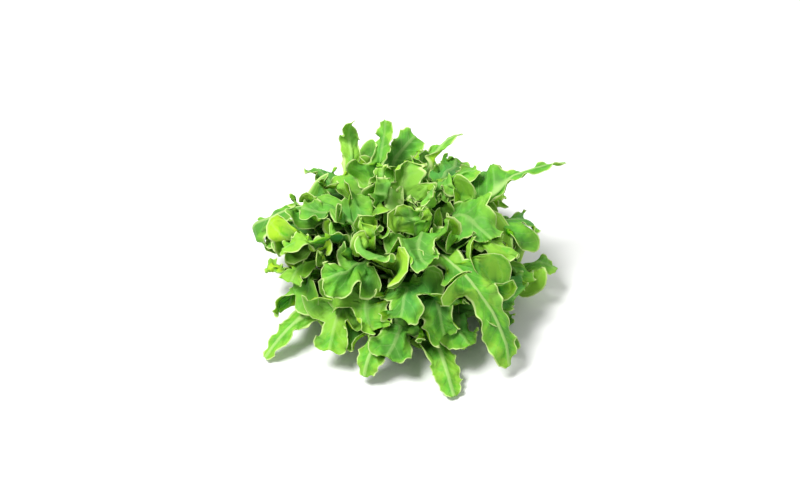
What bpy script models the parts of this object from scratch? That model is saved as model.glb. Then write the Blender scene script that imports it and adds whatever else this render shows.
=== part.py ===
# Oak leaf lettuce as cut: rings of lobed, ruffled leaves round a short stem, with a heart of small leaves.
# Metres, +Z up. The origin is the middle of the stem's cut face, which stands on the ground.

import math
import random

import bpy
import bmesh
import numpy as np
from mathutils.bvhtree import BVHTree

MM = 0.001  # the sizes below are in millimetres, and angles in degrees

# The stem: a short cone with a flat cut foot. The leaves stand round its side, and the heart on its top.
FOOT_RADIUS = 15.0
STEM_RADIUS = 19.5
STEM_BULGE = 6.0
STEM_TOP_RADIUS = 8.0
STEM_TOP = 40.0
STEM_SIDES = 24
ROOT_GAP = 0.6

# The heart's core: a small bud that the heart's leaves grow out of.
CORE_BOTTOM = 40.6
CORE_RADIUS = 8.5
CORE_TOP = 66.0

STEM_PROFILE = ((0.0, 0.0), (FOOT_RADIUS, 0.0), (FOOT_RADIUS + 1.5, 1.2), (STEM_RADIUS, STEM_BULGE),
                (STEM_TOP_RADIUS, STEM_TOP - 1.0), (STEM_TOP_RADIUS - 1.0, STEM_TOP), (0.0, STEM_TOP))
CORE_PROFILE = ((0.0, CORE_BOTTOM), (CORE_RADIUS - 1.5, CORE_BOTTOM), (CORE_RADIUS, CORE_BOTTOM + 6.0),
                (CORE_RADIUS - 1.0, CORE_BOTTOM + 14.0), (CORE_RADIUS - 4.0, CORE_TOP - 3.0), (0.0, CORE_TOP))
# The leaves' blades keep outside this radius at each height, clear of the stem and the core.
KEEP_OUT = ((STEM_RADIUS + 1.7, STEM_BULGE), (CORE_RADIUS + 2.4, STEM_TOP),
            (CORE_RADIUS + 2.4, CORE_TOP - 8.0), (0.0, CORE_TOP + 10.0))

# The colours: pale stem, and greens that lighten from the outer leaves to the heart.
STEM_PALE = (0.72, 0.78, 0.50)
STEM_ROUGHNESS = 0.55
LEAF_ROUGHNESS = 0.5
GREENS = (("outer_leaf", (0.09, 0.30, 0.03)), ("lower_leaf", (0.11, 0.34, 0.03)),
          ("middle_leaf", (0.13, 0.38, 0.03)), ("upper_leaf", (0.17, 0.43, 0.04)),
          ("crown_leaf", (0.22, 0.48, 0.05)), ("heart_leaf", (0.30, 0.55, 0.08)))

# Every leaf: a grid of rows along the rib and columns across it, thick along the rib and thin at the margin.
# The rows stand up the stalk, on the lobes' shoulders, in the notches and over the tip lobe.
LEAF_COLUMNS = (-1.0, -0.55, 0.0, 0.55, 1.0)
STALK_ROWS = (0.0, 0.14, 0.27)
SHOULDER = 0.45
TIP_ROWS = {3: (0.3, 0.6, 0.86, 1.0), 4: (0.4, 0.8, 1.0)}
HEART_TIP = 0.94
MARGIN_THICKNESS = 0.9
RIB_THICKNESS = 2.6
RIB_STEPS = 81
ARC_PARTS = 14
# The stalk's half width, which falls a little from ring to ring, and the blade's share of the lobes' width.
STALK = 4.2
STALK_STEP = 0.25
BODY = 0.26
# How the margin moves: lobes lean towards the tip, and the margin is drawn to and fro and frays.
LEAN = 0.4
SKEW = 11.0
FRAY = 0.5
NOD_SPEED = 7.0
SWING_SPEED = 8.0
TURN = 2.0 * math.pi
# Leaves flatten out over the last few millimetres above the ground, and stop just short of it.
FLOOR_GAP = 0.3
FLOOR_EASE = 10.0

# The rings of leaves from the ground up to the heart. Each has its own size and carriage: rise is the
# rib's angle at the root and at the tip, and cup is the blade's at the root, the middle and the tip. In a ring,
# every second leaf lies over its neighbours.
RINGS = (
    dict(name="outer_leaf", count=10, first=-70, root=5, length=138, width=45, rise=(56, -56), late=1.0,
         curl=1.5, waves=4.6, cup=(0.5, 0.2, -0.4)),
    dict(name="lower_leaf", count=10, first=-88, root=10, length=136, width=43, rise=(68, -50), late=1.0,
         curl=1.7, waves=4.8, cup=(0.5, 0.2, -0.3)),
    dict(name="middle_leaf", count=10, first=-70, root=16, length=140, width=43, rise=(74, -46), late=1.1,
         curl=1.8, waves=5.0, cup=(0.5, 0.2, -0.2)),
    dict(name="upper_leaf", count=10, first=-88, root=22, length=136, width=43, rise=(80, -26), late=1.1,
         curl=2.0, waves=5.0, cup=(0.5, 0.3, 0.0)),
    dict(name="crown_leaf", count=9, first=-95, root=28.5, length=122, width=41, rise=(84, 4), late=1.1,
         curl=2.2, waves=5.0, cup=(0.5, 0.4, 0.2)),
    dict(name="heart_leaf", count=7, first=-80, root=44, length=92, width=32, rise=(84, 46), late=1.0,
         curl=2.2, waves=4.8, cup=(0.7, 0.5, 0.2)),
    dict(name="small_leaf", count=5, first=-80, root=52, length=62, width=22, rise=(86, 62), late=1.0,
         curl=2.2, waves=4.2, cup=(0.7, 0.6, 0.3)),
)
FUSED = ("heart_leaf", "small_leaf")
# The lobes of a leaf, from the stalk to the tip: where along it, how far out and how broad, in shares of it.
LOBED = (
    ((0.37, 0.55, 0.052), (0.53, 0.90, 0.060), (0.71, 1.02, 0.065), (0.91, 0.38, 0.105)),
    ((0.45, 0.80, 0.066), (0.67, 1.06, 0.072), (0.90, 0.40, 0.115)),
    ((0.50, 0.95, 0.070), (0.72, 1.02, 0.072), (0.92, 0.44, 0.095)),
)
# Leaves that stand out from their ring: how they differ from what the ring and the draw give them.
LONG_TIP = ((0.34, 0.66, 0.065), (0.53, 1.05, 0.078), (0.81, 0.32, 0.20))
HORN = ((0.40, 0.90, 0.070), (0.60, 0.90, 0.075), (0.84, 0.36, 0.17))
STANDOUTS = {
    "outer_leaf_01": dict(azimuth=-70, length=154, width=38, rise=(50, -50), flick=0, sway=-3, twist=0,
                          lobes=LONG_TIP, snake=(4, 4, 0.0, 0.0)),
    "outer_leaf_03": dict(azimuth=-2, length=140, width=34, rise=(52, -50), sway=-8),
    "outer_leaf_09": dict(azimuth=-140, length=158, width=26, rise=(50, -48), cup=(0.5, 1.0, 1.2), flick=0,
                          sway=-4, twist=0, lobes=LONG_TIP, snake=(4, 4, 0.0, 0.0)),
    "outer_leaf_10": dict(azimuth=-108, length=140, width=38, rise=(56, -56), flick=0, lobes=LONG_TIP),
    "upper_leaf_02": dict(azimuth=-49, length=200, width=48, rise=(84, -86), late=0.95, flick=12, sway=0,
                          twist=4, lobes=LONG_TIP, snake=(4, 3, 0.0, 0.0)),
    "upper_leaf_04": dict(azimuth=21, length=196, width=28, rise=(76, -6), flick=-16, sway=-10,
                          lobes=LONG_TIP, snake=(10, 8, 1.0, 0.0)),
    "upper_leaf_08": dict(azimuth=165, length=184, width=34, rise=(82, -80), flick=-34, sway=16, twist=0,
                          lobes=LONG_TIP, snake=(4, 4, 0.0, 0.0)),
    "crown_leaf_05": dict(azimuth=65, length=152, width=20, rise=(78, 34), sway=-42, flick=-20,
                          lobes=LONG_TIP),
    "crown_leaf_06": dict(azimuth=104, length=140, width=30, rise=(80, 36), flick=10, sway=-10, lobes=HORN),
    "crown_leaf_07": dict(azimuth=143, length=158, width=26, rise=(76, 14), flick=76, sway=-31, lobes=HORN),
}
SEED = 21

# Bending clear: where two leaves would cross, the inner one is moved to the upper side of the outer one.
# Leaves that face each other across the heart keep to each other's upper sides.
LEAF_GAP = 0.3
CONTROLS = (9, 5)
TEST_ALONG = np.linspace(0.0, 1.0, 21)
TEST_ACROSS = np.linspace(-1.0, 1.0, 9)
CLEARANCE = 3.8
REACH = 12.0
LONGEST_PUSH = 4.0
FACING = 100.0
ROUNDS = 26
DECIMALS = 4  # what the rounds start from is rounded, so that they come out alike on every machine
# Trimming: what still meets is narrowed by this share of its width a round.
TRIM_ROUNDS = 20
TRIM_STEP = 0.25
SLIMMEST_STALK = 0.45
# Leaves slimmed a little at the end, because their solids would fold into themselves.
SLIMMED = {"middle_leaf_05": 0.93, "crown_leaf_06": 0.93}


def smooth(t):
    t = np.clip(t, 0.0, 1.0)
    return t * t * (3.0 - 2.0 * t)


def stem_radius_at(height):
    """The radius of the stem, or of the core above it, for setting the leaves' roots against it."""
    if height > STEM_TOP:
        return 0.5 * CORE_RADIUS
    t = (height - STEM_BULGE) / (STEM_TOP - STEM_BULGE)
    return STEM_RADIUS + (STEM_TOP_RADIUS - STEM_RADIUS) * max(0.0, t)


def half_width(leaf, along, side):
    """How far the margin stands from the rib at the stations along it: a narrow stalk, then a lobed blade."""
    stalk = leaf["stalk"] * np.sqrt(np.clip(1.04 - along ** 10, 0.0, 1.0))
    blade = leaf["width"] * BODY * smooth((along - 0.16) / 0.3) * (1.0 - smooth((along - 0.82) / 0.18))
    total = stalk ** 4 + blade ** 4
    for number, (centre, reach, breadth) in enumerate(leaf["lobes"]):
        shift = leaf["stagger"] * side * (0.0 if number == len(leaf["lobes"]) - 1 else 1.0)
        near = np.clip(1.0 - ((along - centre - shift) / breadth) ** 2, 0.0, 1.0)
        total = total + (leaf["width"] * reach * np.sqrt(near)) ** 4
    width = total ** 0.25
    pinch = hats(along, len(leaf["pinch"])) @ leaf["pinch"][:, 1 if side > 0 else 0]
    stalk = np.minimum(width, leaf["stalk"]) * (SLIMMEST_STALK + (1.0 - SLIMMEST_STALK) * pinch)
    return stalk + np.maximum(width - leaf["stalk"], 0.0) * leaf["grown"] * pinch, pinch


def rib_line(leaf, along):
    """Points on the rib, its direction, its left side and its upper side at the stations along it."""
    steps = np.linspace(0.0, 1.0, RIB_STEPS)
    root_rise, tip_rise = leaf["rise"]
    nod, swing, nod_start, swing_start = leaf["snake"]
    loose = smooth((steps - 0.3) / 0.3)
    rise = np.radians(root_rise + (tip_rise - root_rise) * steps ** leaf["late"]
                      + leaf["flick"] * smooth((steps - 0.7) / 0.3)
                      + nod * loose * np.sin(NOD_SPEED * steps + nod_start))
    heading = np.radians(leaf["azimuth"] + leaf["sway"] * steps ** 1.5
                         + swing * loose * np.sin(SWING_SPEED * steps + swing_start))
    twist = np.radians(leaf["twist"] * smooth((steps - 0.35) / 0.65))
    forward = np.stack([np.cos(rise) * np.cos(heading), np.cos(rise) * np.sin(heading), np.sin(rise)], 1)
    level = np.stack([-np.sin(heading), np.cos(heading), np.zeros_like(heading)], 1)
    upper = np.cross(forward, level)
    left = level * np.cos(twist)[:, None] + upper * np.sin(twist)[:, None]
    upper = np.cross(forward, left)
    middle = 0.5 * (forward[1:] + forward[:-1]) * leaf["length"] / (len(steps) - 1)
    points = np.concatenate([np.zeros((1, 3)), np.cumsum(middle, 0)])
    out = np.array([math.cos(math.radians(leaf["azimuth"])), math.sin(math.radians(leaf["azimuth"])), 0.0])
    stand = stem_radius_at(leaf["root"])
    if not leaf["fused"]:
        stand += ROOT_GAP + 0.5 * RIB_THICKNESS
    points = points + out * stand + np.array([0.0, 0.0, leaf["root"]])
    columns = (points, forward, left, upper)
    return [np.stack([np.interp(along, steps, array[:, k]) for k in range(3)], 1) for array in columns]


def thickness(along, across):
    """The blade's thickness: a rib that thins out to the sides and towards the tip."""
    rib = np.clip(1.0 - np.abs(across)[None, :] / 0.5, 0.0, 1.0) * (1.0 - 0.7 * smooth(along)[:, None])
    return MARGIN_THICKNESS + (RIB_THICKNESS - MARGIN_THICKNESS) * rib


def blade_points(leaf, along, across):
    """The leaf's middle surface as an array of points: rows along the rib by columns across it."""
    rib, forward, left, upper = rib_line(leaf, along)
    u = along[:, None]
    v = across[None, :]
    left_width, left_pinch = half_width(leaf, along, 1)
    right_width, right_pinch = half_width(leaf, along, -1)
    width = np.where(v > 0, left_width[:, None], right_width[:, None])
    pinch = np.where(v > 0, left_pinch[:, None], right_pinch[:, None])
    root_cup, mid_cup, tip_cup = leaf["cup"]
    cup = root_cup + (mid_cup - root_cup) * smooth(u / 0.45) + (tip_cup - mid_cup) * smooth((u - 0.5) / 0.5)
    wave = TURN * leaf["waves"] * u + np.where(v > 0, leaf["phase"][0], leaf["phase"][1])
    free = leaf["grown"] * smooth((u - 0.2) / 0.25)
    curl = free * leaf["curl"] * np.sin(wave)
    fray = free * FRAY * np.sin(2.7 * wave + 1.0)
    sideways = np.zeros_like(width)
    lift = np.zeros_like(width)
    for part in range(ARC_PARTS):
        out = np.abs(v) * width * (part + 0.5) / ARC_PARTS
        slope = cup * out / leaf["width"] + curl * np.clip(1.15 * out / leaf["width"] - 0.1, 0.0, 1.2)
        slope = slope + fray * smooth(2.0 * out / width - 1.0)
        sideways += np.cos(slope) * width * v / ARC_PARTS
        lift += np.sin(slope) * width * np.abs(v) / ARC_PARTS
    reach = np.abs(v) * width / leaf["width"]
    ahead = LEAN * reach ** 1.5 * leaf["width"] + leaf["grown"] * SKEW * reach ** 2 * np.cos(wave)
    spots = (rib[:, None, :] + left[:, None, :] * sideways[..., None]
             + upper[:, None, :] * lift[..., None] + forward[:, None, :] * ahead[..., None])
    spots = spots + np.einsum("ik,ijl,klc->ijc", hats(along, CONTROLS[0]),
                              hats(0.5 * (v * pinch + 1.0), CONTROLS[1]), leaf["bent"])
    if not leaf["fused"]:
        radii, heights = zip(*KEEP_OUT)
        keep = np.interp(spots[..., 2], heights, radii)
        radius = np.maximum(np.hypot(spots[..., 0], spots[..., 1]), 0.1)
        spots[..., :2] *= np.maximum(1.0, keep / radius)[..., None]
    low = np.minimum(spots[..., 2], FLOOR_EASE)
    high = np.maximum(spots[..., 2], FLOOR_EASE)
    spots[..., 2] = high - FLOOR_EASE + FLOOR_EASE * np.exp(low / FLOOR_EASE - 1.0)
    spots[..., 2] = np.maximum(spots[..., 2], FLOOR_GAP + 0.6 * thickness(along, across))
    return spots


def hats(t, count):
    """Smooth weights that share each station out between evenly spaced control stations."""
    gap = np.abs(t[..., None] * (count - 1) - np.arange(count))
    return np.where(gap < 1.0, 0.5 * (1.0 + np.cos(math.pi * gap)), 0.0)


def plan_leaves():
    """The leaves from the lowest to the innermost, each a dict of its sizes and its carriage."""
    draw = random.Random(SEED)
    leaves = []
    for layer, ring in enumerate(RINGS):
        for number in range(ring["count"]):
            over = number % 2
            shrink = draw.uniform(0.92, 1.06)
            lobes = LOBED[draw.randrange(len(LOBED))]
            leaf = dict(
                name=f"{ring['name']}_{number + 1:02d}",
                fused=ring["name"] in FUSED,
                order=2 * layer + over,
                azimuth=ring["first"] + 360.0 * number / ring["count"] + draw.uniform(-2, 2),
                root=ring["root"] + 1.0 * over,
                length=ring["length"] * shrink,
                width=ring["width"] * shrink,
                rise=(ring["rise"][0] + 5.0 * over, ring["rise"][1] + draw.uniform(-10, 10)),
                late=ring["late"],
                flick=draw.uniform(-35, 35),
                snake=(draw.uniform(14, 34), draw.uniform(12, 34), draw.uniform(0, TURN),
                       draw.uniform(0, TURN)),
                sway=draw.uniform(-22, 22),
                twist=draw.uniform(-40, 40),
                stalk=STALK - STALK_STEP * layer,
                stagger=draw.uniform(-0.03, 0.03),
                curl=ring["curl"] * draw.uniform(0.8, 1.2),
                waves=ring["waves"] * draw.uniform(0.85, 1.15),
                phase=(draw.uniform(0, TURN), draw.uniform(0, TURN)),
                cup=tuple(c + s * draw.uniform(-1, 1) for c, s in zip(ring["cup"], (0.1, 0.3, 0.7))),
                lobes=[(centre + draw.uniform(-0.015, 0.015), reach * draw.uniform(0.85, 1.1), breadth)
                       for centre, reach, breadth in lobes],
                grown=1.0,
                bent=np.zeros(CONTROLS + (3,)),
                pinch=np.ones((2 * CONTROLS[0], 2)),
            )
            leaf.update(STANDOUTS.get(leaf["name"], {}))
            leaves.append(leaf)
    leaves.sort(key=lambda leaf: leaf["order"])
    return leaves


def stations(leaf):
    """Where the rows of the leaf's grid stand along its rib."""
    lobes = leaf["lobes"]
    rows = [*STALK_ROWS, lobes[0][0] - lobes[0][2]]
    for number, (centre, reach, breadth) in enumerate(lobes[:-1]):
        last = number == len(lobes) - 2
        shoulder = SHOULDER * breadth
        rows += [centre - shoulder, centre + shoulder] if last or leaf["fused"] else [centre]
        next_centre, next_reach, next_breadth = lobes[number + 1]
        edge = centre + breadth
        rows.append(edge if last else 0.5 * (edge + next_centre - next_breadth))
    if leaf["fused"]:
        rows += [0.5 * (rows[-1] + HEART_TIP), HEART_TIP, 1.0]
    else:
        rows += [rows[-1] + t * (1.0 - rows[-1]) for t in TIP_ROWS[len(lobes)]]
    return np.array(rows)


def grid_tris(rows, columns):
    tris = []
    for i in range(rows - 1):
        for j in range(columns - 1):
            a = i * columns + j
            d = a + columns
            tris += [(a, d, a + 1), (a + 1, d, d + 1)]
    return tris


def boxes_apart(one, two, gap):
    return (one.min(0) > two.max(0) + gap).any() or (two.min(0) > one.max(0) + gap).any()


def bend_clear(leaves, rounds=ROUNDS):
    """Move the leaves off each other, a little each round, while their blades grow to full width."""
    for turn in range(rounds):
        for leaf in leaves:
            leaf["grown"] = min(1.0, 0.3 + 0.7 * turn / (0.65 * rounds))
        push_apart(leaves)


def pushes_between(one, two, side, tree):
    """The moves of leaf one's points that are too near leaf two, or crossed it, and the faces they leave."""
    near = ((one > two.min(0) - CLEARANCE) & (one < two.max(0) + CLEARANCE)).all(1)
    found = []
    for index in np.nonzero(near)[0]:
        spot, normal, face, distance = tree.find_nearest(one[index], REACH)
        if spot is None:
            continue
        normal = np.array(normal)
        depth = (one[index] - np.array(spot)) @ normal
        beside = abs(depth) < 0.7 * distance and distance > CLEARANCE
        if side * depth < CLEARANCE and not beside:
            found.append((int(index), face, normal * side * min(CLEARANCE - side * depth, LONGEST_PUSH)))
    return found


def push_apart(leaves):
    """One round of moving each pair of leaves that are too near, or crossed, along the blades' normals."""
    rows, columns = len(TEST_ALONG), len(TEST_ACROSS)
    tris = grid_tris(rows, columns)
    flat = [np.round(blade_points(leaf, TEST_ALONG, TEST_ACROSS), DECIMALS).reshape(-1, 3) for leaf in leaves]
    trees = [BVHTree.FromPolygons(spots.tolist(), tris) for spots in flat]
    push = np.zeros((len(leaves), rows, columns, 3))
    hits = np.zeros((len(leaves), rows, columns))
    for a in range(len(leaves)):
        for b in range(len(leaves)):
            if a == b or boxes_apart(flat[a], flat[b], CLEARANCE):
                continue
            turned = abs((leaves[a]["azimuth"] - leaves[b]["azimuth"] + 180.0) % 360.0 - 180.0)
            side = 1.0 if a > b or turned > FACING else -1.0
            for index, face, move in pushes_between(flat[a], flat[b], side, trees[b]):
                i, j = divmod(index, columns)
                push[a, i, j] += 0.5 * move
                hits[a, i, j] += 1
                i, j = divmod(face // 2, columns - 1)
                push[b, i:i + 2, j:j + 2] -= 0.5 * move
                hits[b, i:i + 2, j:j + 2] += 1
    bend_by(leaves, push, hits)


def bend_by(leaves, push, hits):
    """Share each leaf's pushes out to its controls, which leave the root where it is."""
    share_u, share_v = hats(TEST_ALONG, CONTROLS[0]), hats(0.5 * (TEST_ACROSS + 1.0), CONTROLS[1])
    free = smooth((np.linspace(0, 1, CONTROLS[0]) - 0.05) / 0.2)[:, None, None]
    for leaf, moved, hit in zip(leaves, push, hits):
        mean = moved / np.maximum(hit, 1.0)[..., None]
        total = np.einsum("ik,jl,ijc->klc", share_u, share_v, mean)
        norm = np.einsum("ik,jl,ij->kl", share_u, share_v, np.minimum(hit, 1.0))
        leaf["bent"] = np.round(leaf["bent"] + free * total / np.maximum(norm, 1.0)[..., None], DECIMALS)


def shell(leaf):
    """Both faces and the edges of the leaf's solid, and the grid cell that each triangle belongs to."""
    along, across = stations(leaf), np.array(LEAF_COLUMNS)
    rows, columns = len(along), len(across)
    points = np.round(blade_points(leaf, along, across), DECIMALS).reshape(-1, 3)
    tris = np.array(grid_tris(rows, columns))
    faces = np.cross(points[tris[:, 1]] - points[tris[:, 0]], points[tris[:, 2]] - points[tris[:, 0]])
    faces /= np.maximum(np.linalg.norm(faces, axis=1), 1e-9)[:, None]
    normals = np.zeros_like(points)
    for corner in range(3):
        np.add.at(normals, tris[:, corner], faces)
    normals /= np.maximum(np.linalg.norm(normals, axis=1), 1e-9)[:, None]
    half = 0.5 * thickness(along, across).reshape(-1, 1) + 0.5 * LEAF_GAP
    count = len(points)
    ring = [(i, 0) for i in range(rows)] + [(rows - 1, j) for j in range(1, columns)]
    ring += [(i, columns - 1) for i in range(rows - 2, -1, -1)] + [(0, j) for j in range(columns - 2, 0, -1)]
    cells = [divmod(k // 2, columns - 1) for k in range(len(tris))] * 2
    every = tris.tolist() + (tris[:, ::-1] + count).tolist()
    for (i, j), (k, m) in zip(ring, ring[1:] + ring[:1]):
        a, b = i * columns + j, k * columns + m
        every += [(a, b, b + count), (a, b + count, a + count)]
        cells += [(min(i, k, rows - 2), min(j, m, columns - 2))] * 2
    return np.concatenate([points + normals * half, points - normals * half]), every, cells, along, across


def outer_spot(leaves, shells, pair, hit):
    """Of two triangles that meet, the one nearer its leaf's margin: its leaf, station along it and side."""
    spots = []
    for number, tri in zip(pair, hit):
        points, every, cells, along, across = shells[number]
        i, j = cells[tri]
        middle = 0.5 * (across[j] + across[j + 1])
        where = 0.5 * (along[i] + along[i + 1])
        side = 1 if middle > 0 else 0
        pinch = leaves[number]["pinch"]
        narrowed = hats(np.array([where]), len(pinch))[0] @ pinch[:, side]
        spots.append((round(abs(middle) * narrowed, DECIMALS), number, where, side))
    return max(spots)[1:]


def crossings(leaves):
    """Where the leaves' solids meet. Fused leaves may meet at their roots."""
    shells = [shell(leaf) for leaf in leaves]
    trees = [BVHTree.FromPolygons(points.tolist(), every) for points, every, cells, along, across in shells]
    marks = set()
    for a in range(len(leaves)):
        for b in range(a + 1, len(leaves)):
            if boxes_apart(shells[a][0], shells[b][0], 0.0):
                continue
            lowest = 1 if leaves[a]["fused"] and leaves[b]["fused"] else 0
            for hit in trees[a].overlap(trees[b]):
                if min(shells[a][2][hit[0]][0], shells[b][2][hit[1]][0]) >= lowest:
                    marks.add(outer_spot(leaves, shells, (a, b), hit))
    return sorted(marks)


def trim_clear(leaves):
    """Narrow the lobes that still meet another leaf, a little each round, until none do."""
    for turn in range(TRIM_ROUNDS):
        marks = crossings(leaves)
        if not marks:
            break
        for number, where, side in marks:
            pinch = leaves[number]["pinch"]
            pinch[:, side] *= 1.0 - TRIM_STEP * hats(np.array([where]), len(pinch))[0]
    for leaf in leaves:
        leaf["pinch"] *= SLIMMED.get(leaf["name"], 1.0)


def make_material(name, colour, roughness):
    material = bpy.data.materials.new(name)
    material.use_nodes = True
    shader = material.node_tree.nodes["Principled BSDF"]
    shader.inputs["Base Color"].default_value = (*colour, 1.0)
    shader.inputs["Roughness"].default_value = roughness
    material.diffuse_color = (*colour, 1.0)
    return material


def make_object(name, bm, collection, material):
    mesh = bpy.data.meshes.new(name)
    bm.to_mesh(mesh)
    bm.free()
    mesh.materials.append(material)
    thing = bpy.data.objects.new(name, mesh)
    collection.objects.link(thing)
    return thing


def make_turned(name, profile, collection, material):
    """A body of revolution from its profile of (radius, height), which starts and ends on the axis."""
    bm = bmesh.new()
    corners = [bm.verts.new((radius * MM, 0.0, height * MM)) for radius, height in profile]
    for one, two in zip(corners, corners[1:]):
        bm.edges.new((one, two))
    thing = make_object(name, bm, collection, material)
    screw = thing.modifiers.new("turn", "SCREW")
    screw.axis = "Z"
    screw.steps = STEM_SIDES
    screw.render_steps = STEM_SIDES
    screw.use_merge_vertices = True
    screw.merge_threshold = 0.00005
    screw.use_normal_calculate = True
    return thing


def make_leaf(leaf, collection, material):
    """One leaf: a grid bent into its blade, split into triangles and given its thickness."""
    along, across = stations(leaf), np.array(LEAF_COLUMNS)
    points = blade_points(leaf, along, across) * MM
    bm = bmesh.new()
    bmesh.ops.create_grid(bm, x_segments=len(across) - 1, y_segments=len(along) - 1, size=1.0)
    layer = bm.verts.layers.deform.verify()
    rib = (thickness(along, across) - MARGIN_THICKNESS) / (RIB_THICKNESS - MARGIN_THICKNESS)
    for vert in bm.verts:
        i = round(0.5 * (vert.co.y + 1.0) * (len(along) - 1))
        j = round(0.5 * (vert.co.x + 1.0) * (len(across) - 1))
        vert[layer][0] = float(rib[i, j])
        vert.co = points[i, j]
    bmesh.ops.triangulate(bm, faces=bm.faces[:], quad_method="ALTERNATE")
    thing = make_object(leaf["name"], bm, collection, material)
    thing.vertex_groups.new(name="rib")
    solid = thing.modifiers.new("thickness", "SOLIDIFY")
    solid.thickness = RIB_THICKNESS * MM
    solid.offset = 0.0
    solid.vertex_group = "rib"
    solid.thickness_vertex_group = MARGIN_THICKNESS / RIB_THICKNESS
    return thing


def keep_largest(mesh):
    """Keep only the mesh's largest surface, so a sealed hollow is filled and a loose scrap is dropped."""
    bm = bmesh.new()
    bm.from_mesh(mesh)
    seen = set()
    surfaces = []
    for first in bm.faces:
        if first in seen:
            continue
        seen.add(first)
        surface = [first]
        for face in surface:
            for edge in face.edges:
                for other in edge.link_faces:
                    if other not in seen:
                        seen.add(other)
                        surface.append(other)
        surfaces.append(surface)
    surfaces.sort(key=len)
    for surface in surfaces[:-1]:
        bmesh.ops.delete(bm, geom=surface, context="FACES")
    bm.to_mesh(mesh)
    bm.free()


def join_heart(heart, cutters):
    """Fuse the small leaves with the core that they grow from."""
    union = heart.modifiers.new("leaves", "BOOLEAN")
    union.operation = "UNION"
    union.solver = "MANIFOLD"
    union.operand_type = "COLLECTION"
    union.collection = cutters
    depsgraph = bpy.context.evaluated_depsgraph_get()
    joined = bpy.data.meshes.new_from_object(heart.evaluated_get(depsgraph))
    keep_largest(joined)
    heart.modifiers.clear()
    heart.data = joined
    for thing in list(cutters.objects):
        bpy.data.objects.remove(thing)


def main():
    for thing in list(bpy.data.objects):
        bpy.data.objects.remove(thing)
    lettuce = bpy.data.collections.new("oak_leaf_lettuce")
    cutters = bpy.data.collections.new("cutters")
    for collection in (lettuce, cutters):
        bpy.context.scene.collection.children.link(collection)
    pale = make_material("stem_pale", STEM_PALE, STEM_ROUGHNESS)
    greens = {name: make_material(name + "_green", colour, LEAF_ROUGHNESS) for name, colour in GREENS}
    make_turned("stem", STEM_PROFILE, lettuce, pale)
    heart = make_turned("heart", CORE_PROFILE, lettuce, greens["heart_leaf"])
    leaves = plan_leaves()
    bend_clear(leaves)
    trim_clear(leaves)
    for leaf in leaves:
        ring = "heart_leaf" if leaf["fused"] else leaf["name"][:-3]
        make_leaf(leaf, cutters if leaf["fused"] else lettuce, greens[ring])
    join_heart(heart, cutters)


main()
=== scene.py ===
# Oak leaf lettuce: fine leaves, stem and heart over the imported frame.
import math
import random

import bpy
import bmesh
import numpy as np
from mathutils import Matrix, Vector
from mathutils.bvhtree import BVHTree


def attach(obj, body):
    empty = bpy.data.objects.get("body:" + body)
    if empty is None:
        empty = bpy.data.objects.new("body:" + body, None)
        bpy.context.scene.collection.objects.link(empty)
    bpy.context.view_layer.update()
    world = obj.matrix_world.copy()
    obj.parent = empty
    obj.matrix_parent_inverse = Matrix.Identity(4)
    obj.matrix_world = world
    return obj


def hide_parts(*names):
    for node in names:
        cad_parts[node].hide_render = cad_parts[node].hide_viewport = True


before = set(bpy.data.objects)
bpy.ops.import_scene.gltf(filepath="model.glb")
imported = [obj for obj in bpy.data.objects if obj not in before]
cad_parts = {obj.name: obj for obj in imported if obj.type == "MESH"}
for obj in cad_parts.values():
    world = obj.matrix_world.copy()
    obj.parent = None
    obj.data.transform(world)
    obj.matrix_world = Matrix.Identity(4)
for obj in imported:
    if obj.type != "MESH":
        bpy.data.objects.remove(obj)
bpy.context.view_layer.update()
mm = 0.001
fullTurn = 2.0 * math.pi
print("frame loaded:", len(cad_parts), "nodes")

# the stem and the heart's core, in millimetres: the leaves stand round the stem, and the heart on its top
stem = {"radius": 19.5, "bulge": 6.0, "topRadius": 8.0, "top": 40.0, "rootGap": 0.6}
core = {"radius": 8.5, "top": 66.0}
# the leaves' blades keep outside this radius at each height, clear of the stem and the core
keepOut = ((stem["radius"] + 1.7, stem["bulge"]), (core["radius"] + 2.4, stem["top"]),
           (core["radius"] + 2.4, core["top"] - 8.0), (0.0, core["top"] + 10.0))
# leaves flatten out over the last few millimetres above the ground, and stop just short of it
ground = {"gap": 0.3, "ease": 10.0}

# Every leaf's form, as the frame has it. A pair such as bladeStart says where along the rib something
# begins, and over what share of the rib it grows to its full size.
leafForm = {
    # a grid of rows along the rib and columns across it: the rows stand up the stalk, on the lobes'
    # shoulders, in the notches and over the tip lobe
    "columns": (-1.0, -0.55, 0.0, 0.55, 1.0), "stalkRows": (0.0, 0.14, 0.27), "shoulder": 0.45,
    "tipRows": {3: (0.3, 0.6, 0.86, 1.0), 4: (0.4, 0.8, 1.0)}, "heartTip": 0.94,
    # millimetres thick, the rib's half width across and how much thinner it is at the tip
    "marginThickness": 0.9, "ribThickness": 2.6, "ribHalf": 0.5, "ribThinning": 0.7,
    # the stalk's half width, which falls a little from ring to ring, and the blade's share of the width
    "stalkHalf": 4.2, "stalkStep": 0.25, "slimmestStalk": 0.45,
    "bladeShare": 0.26, "bladeStart": (0.16, 0.3), "bladeEnd": (0.82, 0.18),
    # how the rib winds, and how fine the steps are that it and the blade's arcs are summed in
    "snakeStart": (0.3, 0.3), "nodSpeed": 7.0, "swingSpeed": 8.0, "flickStart": (0.7, 0.3), "swayPower": 1.5,
    "twistStart": (0.35, 0.65), "ribSteps": 81, "arcParts": 14,
    # how the blade cups and its margin curls and frays
    "midCup": (0.0, 0.45), "tipCup": (0.5, 0.5), "ruffleStart": (0.2, 0.25),
    "curlSlope": 1.15, "curlFrom": 0.1, "curlMost": 1.2,
    "frayDepth": 0.5, "fraySpeed": 2.7, "frayShift": 1.0,
    # lobes lean towards the tip, and the margin is drawn to and fro
    "lobeLean": 0.4, "marginSkew": 11.0,
}

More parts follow.
